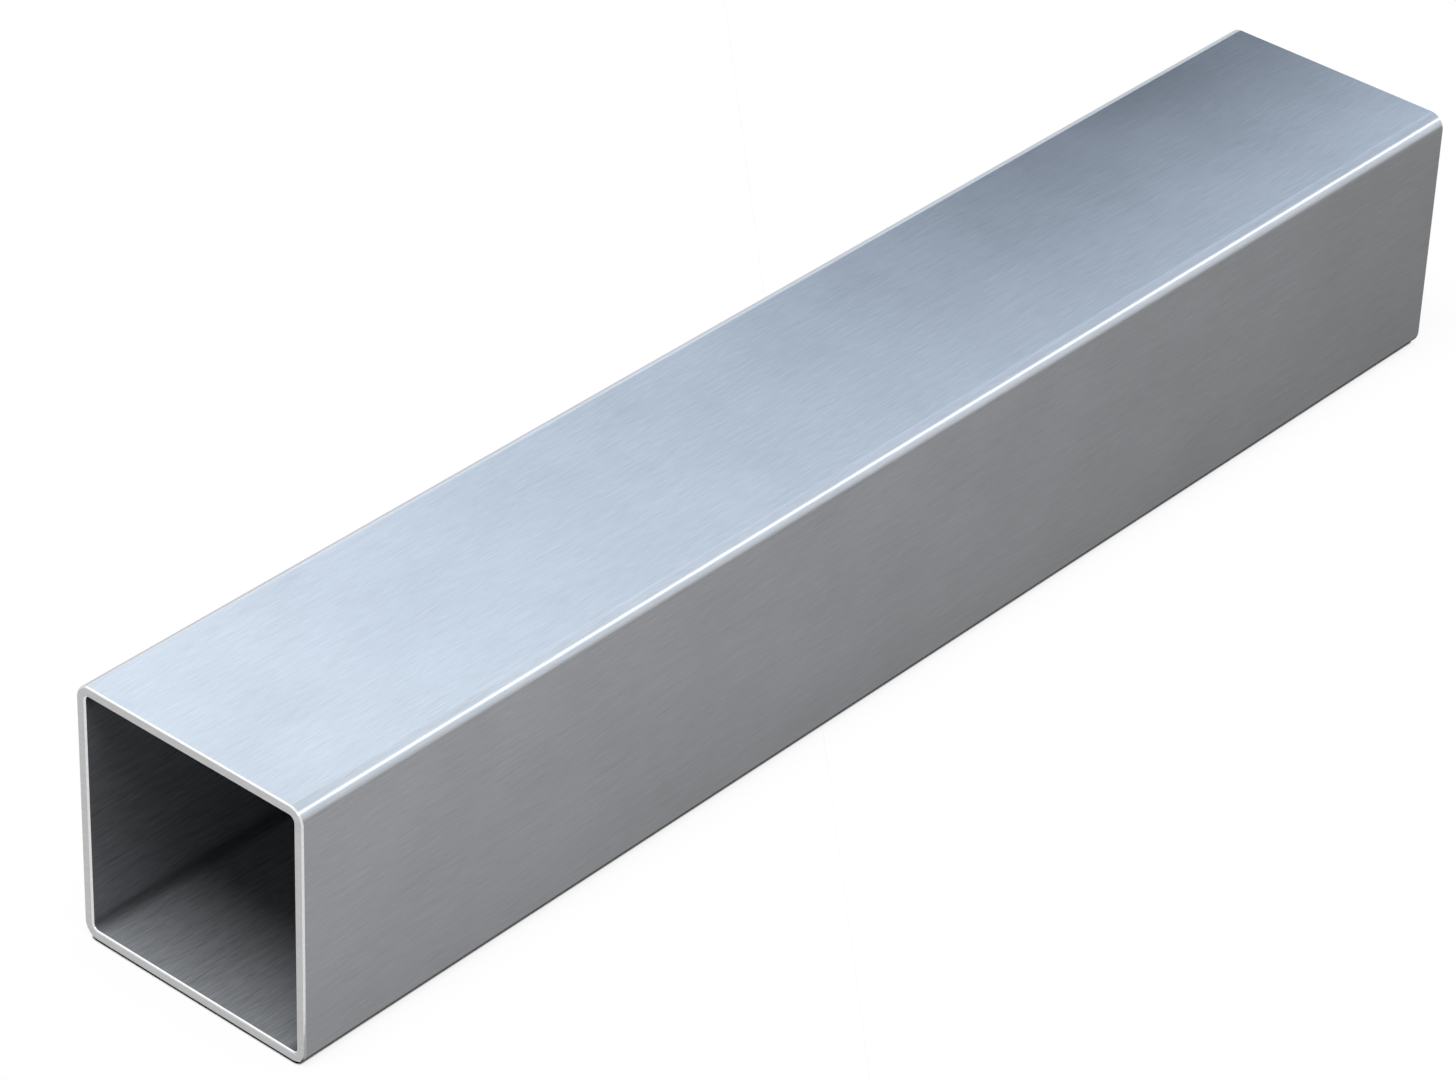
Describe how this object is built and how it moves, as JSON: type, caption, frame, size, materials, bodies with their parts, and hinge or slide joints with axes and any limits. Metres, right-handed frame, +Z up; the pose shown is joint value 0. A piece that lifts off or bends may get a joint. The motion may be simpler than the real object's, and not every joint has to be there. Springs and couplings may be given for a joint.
{
  "type": "square metal tube",
  "caption": "Square steel box section, a cut length of thin-walled tube with rounded corners, open through from end to end.",
  "frame": {"origin": "the middle of the underside, on the surface that the tube lies on", "axes": "+X along the length, +Y across the width, +Z up through the top side"},
  "size_m": [0.3, 0.05, 0.05],
  "materials": {
    "brushed_steel": "brushed"
  },
  "bodies": {
    "root": {"square_tube": "brushed_steel"}
  },
  "joints": []
}
